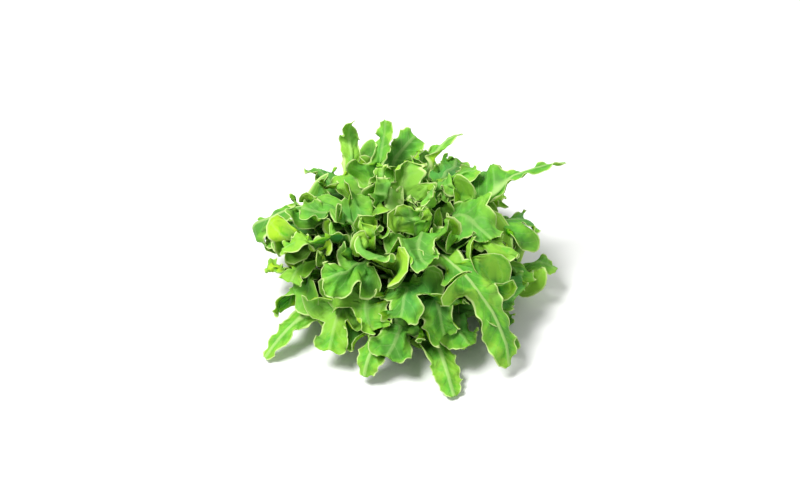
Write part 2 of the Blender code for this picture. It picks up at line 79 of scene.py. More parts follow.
# The rings of leaves from the ground up to the heart. Each has its own size and carriage: rise is the
# rib's angle at the root and at the tip, and cup is the blade's at the root, the middle and the tip.
# In a ring, every second leaf lies over its neighbours.
rings = (
    dict(name="outer_leaf", count=10, first=-70, root=5, length=138, width=45, rise=(56, -56), late=1.0,
         curl=1.5, waves=4.6, cup=(0.5, 0.2, -0.4)),
    dict(name="lower_leaf", count=10, first=-88, root=10, length=136, width=43, rise=(68, -50), late=1.0,
         curl=1.7, waves=4.8, cup=(0.5, 0.2, -0.3)),
    dict(name="middle_leaf", count=10, first=-70, root=16, length=140, width=43, rise=(74, -46), late=1.1,
         curl=1.8, waves=5.0, cup=(0.5, 0.2, -0.2)),
    dict(name="upper_leaf", count=10, first=-88, root=22, length=136, width=43, rise=(80, -26), late=1.1,
         curl=2.0, waves=5.0, cup=(0.5, 0.3, 0.0)),
    dict(name="crown_leaf", count=9, first=-95, root=28.5, length=122, width=41, rise=(84, 4), late=1.1,
         curl=2.2, waves=5.0, cup=(0.5, 0.4, 0.2)),
    dict(name="heart_leaf", count=7, first=-80, root=44, length=92, width=32, rise=(84, 46), late=1.0,
         curl=2.2, waves=4.8, cup=(0.7, 0.5, 0.2)),
    dict(name="small_leaf", count=5, first=-80, root=52, length=62, width=22, rise=(86, 62), late=1.0,
         curl=2.2, waves=4.2, cup=(0.7, 0.6, 0.3)),
)
fusedRings = ("heart_leaf", "small_leaf")
# the lobes of a leaf, from the stalk to the tip: where along it, how far out and how broad, in shares of it
lobed = (
    ((0.37, 0.55, 0.052), (0.53, 0.90, 0.060), (0.71, 1.02, 0.065), (0.91, 0.38, 0.105)),
    ((0.45, 0.80, 0.066), (0.67, 1.06, 0.072), (0.90, 0.40, 0.115)),
    ((0.50, 0.95, 0.070), (0.72, 1.02, 0.072), (0.92, 0.44, 0.095)),
)
# leaves that stand out from their ring: how they differ from what the ring and the draw give them
longTip = ((0.34, 0.66, 0.065), (0.53, 1.05, 0.078), (0.81, 0.32, 0.20))
horn = ((0.40, 0.90, 0.070), (0.60, 0.90, 0.075), (0.84, 0.36, 0.17))
standouts = {
    "outer_leaf_01": dict(azimuth=-70, length=154, width=38, rise=(50, -50), flick=0, sway=-3, twist=0,
                          lobes=longTip, snake=(4, 4, 0.0, 0.0)),
    "outer_leaf_03": dict(azimuth=-2, length=140, width=34, rise=(52, -50), sway=-8),
    "outer_leaf_09": dict(azimuth=-140, length=158, width=26, rise=(50, -48), cup=(0.5, 1.0, 1.2), flick=0,
                          sway=-4, twist=0, lobes=longTip, snake=(4, 4, 0.0, 0.0)),
    "outer_leaf_10": dict(azimuth=-108, length=140, width=38, rise=(56, -56), flick=0, lobes=longTip),
    "upper_leaf_02": dict(azimuth=-49, length=200, width=48, rise=(84, -86), late=0.95, flick=12, sway=0,
                          twist=4, lobes=longTip, snake=(4, 3, 0.0, 0.0)),
    "upper_leaf_04": dict(azimuth=21, length=196, width=28, rise=(76, -6), flick=-16, sway=-10,
                          lobes=longTip, snake=(10, 8, 1.0, 0.0)),
    "upper_leaf_08": dict(azimuth=165, length=184, width=34, rise=(82, -80), flick=-34, sway=16, twist=0,
                          lobes=longTip, snake=(4, 4, 0.0, 0.0)),
    "crown_leaf_05": dict(azimuth=65, length=152, width=20, rise=(78, 34), sway=-42, flick=-20,
                          lobes=longTip),
    "crown_leaf_06": dict(azimuth=104, length=140, width=30, rise=(80, 36), flick=10, sway=-10, lobes=horn),
    "crown_leaf_07": dict(azimuth=143, length=158, width=26, rise=(76, 14), flick=76, sway=-31, lobes=horn),
}
# how far the draw moves a leaf from its ring: one number is the most either way, and a pair is a range
drawn = {
    "seed": 21, "size": (0.92, 1.06), "azimuth": 2, "tipRise": 10, "flick": 35,
    "nod": (14, 34), "swing": (12, 34), "sway": 22, "twist": 40, "stagger": 0.03,
    "curl": (0.8, 1.2), "waves": (0.85, 1.15), "lobePlace": 0.015, "lobeReach": (0.85, 1.1),
    # the cup's at the root, the middle and the tip, and what every second leaf is moved up and raised by
    "cup": (0.1, 0.3, 0.7), "overRoot": 1.0, "overRise": 5.0,
}

# Bending clear: where two leaves would cross, the inner one is moved to the upper side of the outer one.
# Leaves that face each other across the heart, further apart than facing, keep to each other's upper sides.
clearing = {
    "leafGap": 0.3, "controls": (9, 5), "clearance": 3.8, "reach": 12.0, "longestPush": 4.0,
    "beside": 0.7, "facing": 100.0, "rounds": 26, "freeStart": (0.05, 0.2),
    # the share of its full size that a leaf has at first, what it gains, and by what share of the rounds
    "grownFirst": 0.3, "grownLater": 0.7, "grownBy": 0.65,
    # what the rounds start from is rounded, so that they come out alike on every machine
    "decimals": 4,
}
controls = clearing["controls"]
testAlong = np.linspace(0.0, 1.0, 21)
testAcross = np.linspace(-1.0, 1.0, 9)
# Trimming: what still meets is narrowed by this share of its width a round, and two leaves are slimmed
# a little at the end, as in the frame, because their solids would fold into themselves.
trimming = {"rounds": 20, "step": 0.25, "slimmed": {"middle_leaf_05": 0.93, "crown_leaf_06": 0.93}}


def smooth(t):
    t = np.clip(t, 0.0, 1.0)
    return t * t * (3.0 - 2.0 * t)


def ramp(t, start, length):
    return smooth((t - start) / length)


def lengthsOf(vectors, axis):
    return np.maximum(np.linalg.norm(vectors, axis=axis, keepdims=True), 1e-9)


# smooth shares of count evenly spaced control points
def hats(t, count):
    gap = np.abs(t[..., None] * (count - 1) - np.arange(count))
    return np.where(gap < 1.0, 0.5 * (1.0 + np.cos(math.pi * gap)), 0.0)


def stemRadiusAt(height):
    if height > stem["top"]:
        return 0.5 * core["radius"]
    t = (height - stem["bulge"]) / (stem["top"] - stem["bulge"])
    return stem["radius"] + (stem["topRadius"] - stem["radius"]) * max(0.0, t)


# the width from rib to margin, and how much trimming has narrowed it
def halfWidth(leaf, along, side):
    stalk = leaf["stalk"] * np.sqrt(np.clip(1.04 - along ** 10, 0.0, 1.0))
    blade = leaf["width"] * leafForm["bladeShare"] * ramp(along, *leafForm["bladeStart"])
    blade = blade * (1.0 - ramp(along, *leafForm["bladeEnd"]))
    total = stalk ** 4 + blade ** 4
    for number, (centre, reach, breadth) in enumerate(leaf["lobes"]):
        shift = leaf["stagger"] * side * (0.0 if number == len(leaf["lobes"]) - 1 else 1.0)
        near = np.clip(1.0 - ((along - centre - shift) / breadth) ** 2, 0.0, 1.0)
        total = total + (leaf["width"] * reach * np.sqrt(near)) ** 4
    width = total ** 0.25
    pinch = hats(along, len(leaf["pinch"])) @ leaf["pinch"][:, 1 if side > 0 else 0]
    slimmest = leafForm["slimmestStalk"]
    stalk = np.minimum(width, leaf["stalk"]) * (slimmest + (1.0 - slimmest) * pinch)
    return stalk + np.maximum(width - leaf["stalk"], 0.0) * leaf["grown"] * pinch, pinch


# places along the rib, with the directions forward, left and up there
def ribLine(leaf, along):
    steps = np.linspace(0.0, 1.0, leafForm["ribSteps"])
    rootRise, tipRise = leaf["rise"]
    nod, swing, nodStart, swingStart = leaf["snake"]
    loose = ramp(steps, *leafForm["snakeStart"])
    rise = np.radians(rootRise + (tipRise - rootRise) * steps ** leaf["late"]
                      + leaf["flick"] * ramp(steps, *leafForm["flickStart"])
                      + nod * loose * np.sin(leafForm["nodSpeed"] * steps + nodStart))
    heading = np.radians(leaf["azimuth"] + leaf["sway"] * steps ** leafForm["swayPower"]
                         + swing * loose * np.sin(leafForm["swingSpeed"] * steps + swingStart))
    twist = np.radians(leaf["twist"] * ramp(steps, *leafForm["twistStart"]))
    forward = np.stack([np.cos(rise) * np.cos(heading), np.cos(rise) * np.sin(heading), np.sin(rise)], 1)
    level = np.stack([-np.sin(heading), np.cos(heading), np.zeros_like(heading)], 1)
    upper = np.cross(forward, level)
    left = level * np.cos(twist)[:, None] + upper * np.sin(twist)[:, None]
    upper = np.cross(forward, left)
    middle = 0.5 * (forward[1:] + forward[:-1]) * leaf["length"] / (len(steps) - 1)
    points = np.concatenate([np.zeros((1, 3)), np.cumsum(middle, 0)])
    out = np.array([math.cos(math.radians(leaf["azimuth"])), math.sin(math.radians(leaf["azimuth"])), 0.0])
    stand = stemRadiusAt(leaf["root"])
    if not leaf["fused"]:
        stand += stem["rootGap"] + 0.5 * leafForm["ribThickness"]
    points = points + out * stand + np.array([0.0, 0.0, leaf["root"]])
    columns = (points, forward, left, upper)
    return [np.stack([np.interp(along, steps, array[:, k]) for k in range(3)], 1) for array in columns]


def thickness(along, across):
    rib = np.clip(1.0 - np.abs(across)[None, :] / leafForm["ribHalf"], 0.0, 1.0)
    rib = rib * (1.0 - leafForm["ribThinning"] * smooth(along)[:, None])
    return leafForm["marginThickness"] + (leafForm["ribThickness"] - leafForm["marginThickness"]) * rib


# how far a spot is drawn towards the tip, by its share of the lobes' width
def leanOf(leaf, reach):
    return leafForm["lobeLean"] * reach ** 1.5 * leaf["width"]


# the blade's middle surface, for a grid of places along the rib and across it
def bladePoints(leaf, along, across):
    rib, forward, left, upper = ribLine(leaf, along)
    u = along[:, None]
    v = across[None, :]
    leftWidth, leftPinch = halfWidth(leaf, along, 1)
    rightWidth, rightPinch = halfWidth(leaf, along, -1)
    width = np.where(v > 0, leftWidth[:, None], rightWidth[:, None])
    pinch = np.where(v > 0, leftPinch[:, None], rightPinch[:, None])
    rootCup, midCup, tipCup = leaf["cup"]
    cup = rootCup + (midCup - rootCup) * ramp(u, *leafForm["midCup"])
    cup = cup + (tipCup - midCup) * ramp(u, *leafForm["tipCup"])
    wave = fullTurn * leaf["waves"] * u + np.where(v > 0, leaf["phase"][0], leaf["phase"][1])
    free = leaf["grown"] * ramp(u, *leafForm["ruffleStart"])
    curl = free * leaf["curl"] * np.sin(wave)
    fray = free * leafForm["frayDepth"] * np.sin(leafForm["fraySpeed"] * wave + leafForm["frayShift"])
    sideways = np.zeros_like(width)
    lift = np.zeros_like(width)
    parts = leafForm["arcParts"]
    for part in range(parts):
        out = np.abs(v) * width * (part + 0.5) / parts
        bend = leafForm["curlSlope"] * out / leaf["width"] - leafForm["curlFrom"]
        slope = cup * out / leaf["width"] + curl * np.clip(bend, 0.0, leafForm["curlMost"])
        slope = slope + fray * smooth(2.0 * out / width - 1.0)
        sideways += np.cos(slope) * width * v / parts
        lift += np.sin(slope) * width * np.abs(v) / parts
    reach = np.abs(v) * width / leaf["width"]
    ahead = leanOf(leaf, reach) + leaf["grown"] * leafForm["marginSkew"] * reach ** 2 * np.cos(wave)
    spots = (rib[:, None, :] + left[:, None, :] * sideways[..., None]
             + upper[:, None, :] * lift[..., None] + forward[:, None, :] * ahead[..., None])
    spots = spots + np.einsum("ik,ijl,klc->ijc", hats(along, controls[0]),
                              hats(0.5 * (v * pinch + 1.0), controls[1]), leaf["bent"])
    if not leaf["fused"]:
        radii, heights = zip(*keepOut)
        keep = np.interp(spots[..., 2], heights, radii)
        radius = np.maximum(np.hypot(spots[..., 0], spots[..., 1]), 0.1)
        spots[..., :2] *= np.maximum(1.0, keep / radius)[..., None]
    low = np.minimum(spots[..., 2], ground["ease"])
    high = np.maximum(spots[..., 2], ground["ease"])
    spots[..., 2] = high - ground["ease"] + ground["ease"] * np.exp(low / ground["ease"] - 1.0)
    spots[..., 2] = np.maximum(spots[..., 2], ground["gap"] + 0.6 * thickness(along, across))
    return spots


def planLeaves():
    draw = random.Random(drawn["seed"])

    def eitherWay(name):
        return draw.uniform(-drawn[name], drawn[name])

    leaves = []
    for layer, ring in enumerate(rings):
        for number in range(ring["count"]):
            over = number % 2
            size = draw.uniform(*drawn["size"])
            lobes = lobed[draw.randrange(len(lobed))]
            leaf = dict(
                name=f"{ring['name']}_{number + 1:02d}",
                fused=ring["name"] in fusedRings,
                order=2 * layer + over,
                azimuth=ring["first"] + 360.0 * number / ring["count"] + eitherWay("azimuth"),
                root=ring["root"] + drawn["overRoot"] * over,
                length=ring["length"] * size,
                width=ring["width"] * size,
                rise=(ring["rise"][0] + drawn["overRise"] * over, ring["rise"][1] + eitherWay("tipRise")),
                late=ring["late"],
                flick=eitherWay("flick"),
                snake=(draw.uniform(*drawn["nod"]), draw.uniform(*drawn["swing"]), draw.uniform(0, fullTurn),
                       draw.uniform(0, fullTurn)),
                sway=eitherWay("sway"),
                twist=eitherWay("twist"),
                stalk=leafForm["stalkHalf"] - leafForm["stalkStep"] * layer,
                stagger=eitherWay("stagger"),
                curl=ring["curl"] * draw.uniform(*drawn["curl"]),
                waves=ring["waves"] * draw.uniform(*drawn["waves"]),
                phase=(draw.uniform(0, fullTurn), draw.uniform(0, fullTurn)),
                cup=tuple(c + s * draw.uniform(-1, 1) for c, s in zip(ring["cup"], drawn["cup"])),
                lobes=[(centre + eitherWay("lobePlace"), reach * draw.uniform(*drawn["lobeReach"]), breadth)
                       for centre, reach, breadth in lobes],
                grown=1.0,
                bent=np.zeros(controls + (3,)),
                pinch=np.ones((2 * controls[0], 2)),
            )
            leaf.update(standouts.get(leaf["name"], {}))
            leaves.append(leaf)
    leaves.sort(key=lambda leaf: leaf["order"])
    return leaves


# where the frame's rows of triangles stand along a leaf
def stations(leaf):
    lobes = leaf["lobes"]
    rows = [*leafForm["stalkRows"], lobes[0][0] - lobes[0][2]]
    for number, (centre, reach, breadth) in enumerate(lobes[:-1]):
        last = number == len(lobes) - 2
        shoulder = leafForm["shoulder"] * breadth
        rows += [centre - shoulder, centre + shoulder] if last or leaf["fused"] else [centre]
        nextCentre, nextReach, nextBreadth = lobes[number + 1]
        edge = centre + breadth
        rows.append(edge if last else 0.5 * (edge + nextCentre - nextBreadth))
    if leaf["fused"]:
        rows += [0.5 * (rows[-1] + leafForm["heartTip"]), leafForm["heartTip"], 1.0]
    else:
        rows += [rows[-1] + t * (1.0 - rows[-1]) for t in leafForm["tipRows"][len(lobes)]]
    return np.array(rows)


def gridTris(rows, columns):
    tris = []
    for i in range(rows - 1):
        for j in range(columns - 1):
            a = i * columns + j
            d = a + columns
            tris += [(a, d, a + 1), (a + 1, d, d + 1)]
    return tris


def boxesApart(one, two, gap):
    return (one.min(0) > two.max(0) + gap).any() or (two.min(0) > one.max(0) + gap).any()


# the leaves grow to their full width while they are bent clear
def bendClear(leaves):
    rounds = clearing["rounds"]
    for turn in range(rounds):
        for leaf in leaves:
            later = clearing["grownLater"] * turn / (clearing["grownBy"] * rounds)
            leaf["grown"] = min(1.0, clearing["grownFirst"] + later)
        pushApart(leaves)


def pushesBetween(one, two, side, tree):
    gap = clearing["clearance"]
    near = ((one > two.min(0) - gap) & (one < two.max(0) + gap)).all(1)
    found = []
    for index in np.nonzero(near)[0]:
        spot, normal, face, distance = tree.find_nearest(one[index], clearing["reach"])
        if spot is None:
            continue
        normal = np.array(normal)
        depth = (one[index] - np.array(spot)) @ normal
        beside = abs(depth) < clearing["beside"] * distance and distance > gap
        if side * depth < gap and not beside:
            move = normal * side * min(gap - side * depth, clearing["longestPush"])
            found.append((int(index), face, move))
    return found


def pushApart(leaves):
    rows, columns = len(testAlong), len(testAcross)
    tris = gridTris(rows, columns)
    flat = [np.round(bladePoints(leaf, testAlong, testAcross), clearing["decimals"]).reshape(-1, 3)
            for leaf in leaves]
    trees = [BVHTree.FromPolygons(spots.tolist(), tris) for spots in flat]
    push = np.zeros((len(leaves), rows, columns, 3))
    hits = np.zeros((len(leaves), rows, columns))
    for a in range(len(leaves)):
        for b in range(len(leaves)):
            if a == b or boxesApart(flat[a], flat[b], clearing["clearance"]):
                continue
            turned = abs((leaves[a]["azimuth"] - leaves[b]["azimuth"] + 180.0) % 360.0 - 180.0)
            side = 1.0 if a > b or turned > clearing["facing"] else -1.0
            for index, face, move in pushesBetween(flat[a], flat[b], side, trees[b]):
                i, j = divmod(index, columns)
                push[a, i, j] += 0.5 * move
                hits[a, i, j] += 1
                i, j = divmod(face // 2, columns - 1)
                push[b, i:i + 2, j:j + 2] -= 0.5 * move
                hits[b, i:i + 2, j:j + 2] += 1
    bendBy(leaves, push, hits)


def bendBy(leaves, push, hits):
    shareU, shareV = hats(testAlong, controls[0]), hats(0.5 * (testAcross + 1.0), controls[1])
    free = ramp(np.linspace(0, 1, controls[0]), *clearing["freeStart"])[:, None, None]
    for leaf, moved, hit in zip(leaves, push, hits):
        mean = moved / np.maximum(hit, 1.0)[..., None]
        total = np.einsum("ik,jl,ijc->klc", shareU, shareV, mean)
        norm = np.einsum("ik,jl,ij->kl", shareU, shareV, np.minimum(hit, 1.0))
        bent = leaf["bent"] + free * total / np.maximum(norm, 1.0)[..., None]
        leaf["bent"] = np.round(bent, clearing["decimals"])


# a leaf as the closed solid that the frame has, with the grid cell that each of its triangles lies in
def shell(leaf):
    along, across = stations(leaf), np.array(leafForm["columns"])
    rows, columns = len(along), len(across)
    points = np.round(bladePoints(leaf, along, across), clearing["decimals"]).reshape(-1, 3)
    tris = np.array(gridTris(rows, columns))
    faces = np.cross(points[tris[:, 1]] - points[tris[:, 0]], points[tris[:, 2]] - points[tris[:, 0]])
    faces /= lengthsOf(faces, 1)
    normals = np.zeros_like(points)
    for corner in range(3):
        np.add.at(normals, tris[:, corner], faces)
    normals /= lengthsOf(normals, 1)
    half = 0.5 * thickness(along, across).reshape(-1, 1) + 0.5 * clearing["leafGap"]
    count = len(points)
    ring = [(i, 0) for i in range(rows)] + [(rows - 1, j) for j in range(1, columns)]
    ring += [(i, columns - 1) for i in range(rows - 2, -1, -1)] + [(0, j) for j in range(columns - 2, 0, -1)]
    cells = [divmod(k // 2, columns - 1) for k in range(len(tris))] * 2
    every = tris.tolist() + (tris[:, ::-1] + count).tolist()
    for (i, j), (k, m) in zip(ring, ring[1:] + ring[:1]):
        a, b = i * columns + j, k * columns + m
        every += [(a, b, b + count), (a, b + count, a + count)]
        cells += [(min(i, k, rows - 2), min(j, m, columns - 2))] * 2
    return np.concatenate([points + normals * half, points - normals * half]), every, cells, along, across


# of the two spots that meet, the one further out on its leaf
def outerSpot(leaves, shells, pair, hit):
    spots = []
    for number, tri in zip(pair, hit):
        points, every, cells, along, across = shells[number]
        i, j = cells[tri]
        middle = 0.5 * (across[j] + across[j + 1])
        where = 0.5 * (along[i] + along[i + 1])
        side = 1 if middle > 0 else 0
        pinch = leaves[number]["pinch"]
        narrowed = hats(np.array([where]), len(pinch))[0] @ pinch[:, side]
        spots.append((round(abs(middle) * narrowed, clearing["decimals"]), number, where, side))
    return max(spots)[1:]


def crossings(leaves):
    shells = [shell(leaf) for leaf in leaves]
    trees = [BVHTree.FromPolygons(points.tolist(), every) for points, every, cells, along, across in shells]
    marks = set()
    for a in range(len(leaves)):
        for b in range(a + 1, len(leaves)):
            if boxesApart(shells[a][0], shells[b][0], 0.0):
                continue
            lowest = 1 if leaves[a]["fused"] and leaves[b]["fused"] else 0
            for hit in trees[a].overlap(trees[b]):
                if min(shells[a][2][hit[0]][0], shells[b][2][hit[1]][0]) >= lowest:
                    marks.add(outerSpot(leaves, shells, (a, b), hit))
    return sorted(marks)


def trimClear(leaves):
    for turn in range(trimming["rounds"]):
        marks = crossings(leaves)
        if not marks:
            break
        for number, where, side in marks:
            pinch = leaves[number]["pinch"]
            pinch[:, side] *= 1.0 - trimming["step"] * hats(np.array([where]), len(pinch))[0]
    for leaf in leaves:
        leaf["pinch"] *= trimming["slimmed"].get(leaf["name"], 1.0)


# camera and light, as in the picture: from the front and about 42 degrees above
view = {
    "elevation": 42.0, "distance": 2.1, "target": (0.0, -0.007, 0.058),
    "lens": 100.0, "sensor": 36.0, "nearest": 0.05,
}


def makeCamera():
    camera = bpy.data.objects.new("camera", bpy.data.cameras.new("camera"))
    bpy.context.scene.collection.objects.link(camera)
    camera.data.lens = view["lens"]
    camera.data.sensor_width = view["sensor"]
    camera.data.clip_start = view["nearest"]
    tilt = math.radians(view["elevation"])
    back = Vector((0.0, -math.cos(tilt), math.sin(tilt)))
    camera.location = Vector(view["target"]) + back * view["distance"]
    camera.rotation_mode = "QUATERNION"
    camera.rotation_quaternion = (-back).to_track_quat("-Z", "Y")
    bpy.context.scene.camera = camera
    bpy.context.scene.view_settings.view_transform = "Standard"


lights = {
    "lamps": {
        "key": {"place": (-0.8, -0.35, 1.8), "size": 0.7, "watts": 50.0},
        "fill": {"place": (1.3, -1.0, 1.0), "size": 1.2, "watts": 4.0},
        "back": {"place": (0.3, 1.4, 1.3), "size": 1.0, "watts": 8.0},
    },
    "aim": (0.0, 0.0, 0.06), "sky": 0.46, "skyColour": (1.0, 1.0, 1.0),
}


def makeLights():
    for name, settings in lights["lamps"].items():
        lamp = bpy.data.lights.new(name, "AREA")
        lamp.energy = settings["watts"]
        lamp.size = settings["size"]
        thing = bpy.data.objects.new(name, lamp)
        thing.location = settings["place"]
        aim = Vector(lights["aim"]) - thing.location
        thing.rotation_mode = "QUATERNION"
        thing.rotation_quaternion = aim.to_track_quat("-Z", "Y")
        bpy.context.scene.collection.objects.link(thing)
    world = bpy.data.worlds.new("studio")
    bpy.context.scene.world = world
    world.use_nodes = True
    sky = world.node_tree.nodes["Background"]
    sky.inputs["Color"].default_value = (*lights["skyColour"], 1.0)
    sky.inputs["Strength"].default_value = lights["sky"]


floorLook = {"half": 8.0, "colour": (0.86, 0.86, 0.85), "roughness": 0.9}


def makeFloor():
    bm = bmesh.new()
    bmesh.ops.create_grid(bm, x_segments=1, y_segments=1, size=floorLook["half"])
    mesh = bpy.data.meshes.new("floor")
    bm.to_mesh(mesh)
    bm.free()
    material = bpy.data.materials.new("floor")
    material.use_nodes = True
    shader = material.node_tree.nodes["Principled BSDF"]
    shader.inputs["Base Color"].default_value = (*floorLook["colour"], 1.0)
    shader.inputs["Roughness"].default_value = floorLook["roughness"]
    mesh.materials.append(material)
    thing = bpy.data.objects.new("floor", mesh)
    bpy.context.scene.collection.objects.link(thing)


# a small kit for node materials
class Nodes:
    def __init__(self, name):
        self.material = bpy.data.materials.new(name)
        self.material.use_nodes = True
        self.tree = self.material.node_tree
        self.shader = self.tree.nodes["Principled BSDF"]

    def add(self, kind, **settings):
        node = self.tree.nodes.new(kind)
        for key, value in settings.items():
            setattr(node, key, value)
        return node

    def link(self, source, target):
        if isinstance(source, (int, float)):
            target.default_value = source
        elif isinstance(source, tuple):
            target.default_value = (*source, 1.0)
        else:
            self.tree.links.new(source, target)

    def attribute(self, name):
        return self.add("ShaderNodeAttribute", attribute_name=name).outputs["Fac"]

    def math(self, operation, one, two=0.0):
        node = self.add("ShaderNodeMath", operation=operation)
        self.link(one, node.inputs[0])
        self.link(two, node.inputs[1])
        return node.outputs[0]

    def plus(self, one, two):
        return self.math("ADD", one, two)

    def minus(self, one, two):
        return self.math("SUBTRACT", one, two)

    def times(self, one, two):
        return self.math("MULTIPLY", one, two)

    def rise(self, value, low, high, start=0.0, end=1.0):
        node = self.add("ShaderNodeMapRange", interpolation_type="SMOOTHSTEP")
        self.link(value, node.inputs["Value"])
        for name, number in (("From Min", low), ("From Max", high), ("To Min", start), ("To Max", end)):
            node.inputs[name].default_value = number
        return node.outputs["Result"]

    def mix(self, factor, one, two):
        node = self.add("ShaderNodeMix", data_type="RGBA")
        self.link(factor, node.inputs[0])
        self.link(one, node.inputs[6])
        self.link(two, node.inputs[7])
        return node.outputs[2]

    def noise(self, scale, detail, roughness=0.55):
        node = self.add("ShaderNodeTexNoise")
        self.link(self.add("ShaderNodeTexCoord").outputs["Object"], node.inputs["Vector"])
        node.inputs["Scale"].default_value = scale
        node.inputs["Detail"].default_value = detail
        node.inputs["Roughness"].default_value = roughness
        return node.outputs["Fac"]

    def dress(self, colour, height, paint):
        self.link(colour, self.shader.inputs["Base Color"])
        self.shader.inputs["Roughness"].default_value = paint["roughness"]
        bump = self.add("ShaderNodeBump")
        bump.inputs["Strength"].default_value = paint["bumpStrength"]
        bump.inputs["Distance"].default_value = paint["bumpDepth"]
        self.link(height, bump.inputs["Height"])
        self.link(bump.outputs["Normal"], self.shader.inputs["Normal"])


# The leaf's paint: linear colours, shares of them, noises as scale, detail and roughness, and widths in
# millimetres. Two or four numbers are a fade: from and to, and what it makes of them, which is else 0 and 1.
leafPaint = {
    # gap is the dark green of the painted shade deep between the leaves
    "gap": (0.002, 0.050, 0.001), "deep": (0.004, 0.135, 0.002), "mid": (0.050, 0.380, 0.003),
    # teal is the colour of a painted highlight, laid on in patches
    "bright": (0.185, 0.600, 0.009), "yellow": (0.440, 0.740, 0.035), "teal": (0.008, 0.330, 0.090),
    "rim": (0.700, 0.850, 0.340), "rib": (0.590, 0.790, 0.290), "under": (0.190, 0.520, 0.080),
    "young": (0.350, 0.680, 0.140),
    "broad": (22.0, 2.0), "mottle": (95.0, 4.0, 0.62), "speck": (330.0, 3.0, 0.6), "tealNoise": (16.0, 1.0),
    "noiseShare": 0.95, "toneShare": 0.55, "rimLevel": (15.0, 2.0, -0.07, 0.12),
    "toMid": (0.72, 0.92), "toBright": (0.88, 1.06), "toYellow": (1.04, 1.22), "toTeal": (0.54, 0.66),
    "tealShare": 0.6, "youngShare": 0.7, "underShare": 0.55,
    # shade and deepShade are painted shade: by the hidden sky the colour fades to deep, then to gap
    "shade": (0.36, 0.92, 0.0, 0.85), "deepShade": (0.55, 1.0, 0.0, 0.8),
    "veinSpacing": 11.0, "veinLean": 0.9, "veinWander": 6.0, "veinWidth": 0.10, "veinShare": 0.26,
    "paleEdge": (6.5, 0.8, 0.0, 0.5), "ribFade": (2.09, 0.77), "rimFade": (1.53, 0.45, 0.0, 0.9),
    "glow": 0.26, "glowYellow": 0.35, "roughness": 0.46, "gloss": 0.12,
    "bumpStrength": 0.55, "bumpDepth": 0.0012, "bumpMottle": 0.5, "bumpSpeck": 0.18, "bumpVein": 0.22,
}


def leafMaterial(name, under):
    kit = Nodes(name)
    paint = leafPaint
    rim = kit.attribute("rim")
    fromRib = kit.attribute("fromRib")
    covered = kit.attribute("covered")
    mottle = kit.noise(*paint["mottle"])
    # washes of green, by patches, by leaf and lighter towards the margin
    level = kit.plus(kit.times(kit.noise(*paint["broad"]), paint["noiseShare"]),
                     kit.times(mottle, paint["noiseShare"]))
    level = kit.plus(level, kit.times(kit.minus(kit.attribute("tone"), 0.5), paint["toneShare"]))
    level = kit.plus(level, kit.rise(rim, *paint["rimLevel"]))
    colour = kit.mix(kit.rise(level, *paint["toMid"]), paint["deep"], paint["mid"])
    colour = kit.mix(kit.rise(level, *paint["toBright"]), colour, paint["bright"])
    colour = kit.mix(kit.rise(level, *paint["toYellow"]), colour, paint["yellow"])
    # painted highlight: teal patches laid on by noise
    paintedTealHighlight = kit.times(kit.rise(kit.noise(*paint["tealNoise"]), *paint["toTeal"]), paint["tealShare"])
    colour = kit.mix(paintedTealHighlight, colour, paint["teal"])
    colour = kit.mix(kit.times(kit.attribute("young"), paint["youngShare"]), colour, paint["young"])
    # painted shade: where other leaves hide more of the sky, the green is darkened towards deep
    colour = kit.mix(kit.rise(covered, *paint["shade"]), colour, paint["deep"])
    # side veins lean forward from the rib
    lean = kit.minus(kit.attribute("alongRib"), kit.times(fromRib, paint["veinLean"]))
    lean = kit.plus(lean, kit.times(mottle, paint["veinWander"]))
    step = kit.math("FRACT", kit.math("DIVIDE", lean, paint["veinSpacing"]))
    vein = kit.rise(kit.math("ABSOLUTE", kit.minus(step, 0.5)), paint["veinWidth"], 0.0)
    colour = kit.mix(kit.times(vein, paint["veinShare"]), colour, paint["rib"])
    # the margin, the underside, the rib, and painted shade that darkens the gaps between leaves where other
    # leaves hide the sky
    colour = kit.mix(kit.rise(rim, *paint["paleEdge"]), colour, paint["yellow"])
    if under:
        colour = kit.mix(paint["underShare"], colour, paint["under"])
    ribShare = kit.times(kit.rise(fromRib, *paint["ribFade"]), kit.attribute("ribTone"))
    colour = kit.mix(ribShare, colour, paint["rib"])
    colour = kit.mix(kit.rise(rim, *paint["rimFade"]), colour, paint["rim"])
    colour = kit.mix(kit.rise(covered, *paint["deepShade"]), colour, paint["gap"])
    height = kit.plus(kit.times(mottle, paint["bumpMottle"]),
                      kit.times(kit.noise(*paint["speck"]), paint["bumpSpeck"]))
    kit.dress(colour, kit.minus(height, kit.times(vein, paint["bumpVein"])), paint)
    kit.shader.inputs["Specular IOR Level"].default_value = paint["gloss"]
    # light from behind shows through
    glow = kit.add("ShaderNodeBsdfTranslucent")
    kit.link(kit.mix(paint["glowYellow"], colour, paint["yellow"]), glow.inputs["Color"])
    blend = kit.add("ShaderNodeMixShader")
    blend.inputs[0].default_value = paint["glow"]
    kit.link(kit.shader.outputs[0], blend.inputs[1])
    kit.link(glow.outputs[0], blend.inputs[2])
    kit.link(blend.outputs[0], kit.tree.nodes["Material Output"].inputs["Surface"])
    return kit.material


# the stem's paint, with the brown of the cut in the lowest two millimetres
stemPaint = {
    "flesh": (0.70, 0.76, 0.50), "skin": (0.50, 0.62, 0.28), "cut": (0.52, 0.42, 0.24),
    "skinNoise": (60.0, 4.0), "cutNoise": (140.0, 4.0), "cutFade": (0.42, 0.62), "cutHeight": 0.002,
    "roughness": 0.5, "bumpNoise": (240.0, 4.0), "bumpStrength": 0.4, "bumpDepth": 0.0006,
}


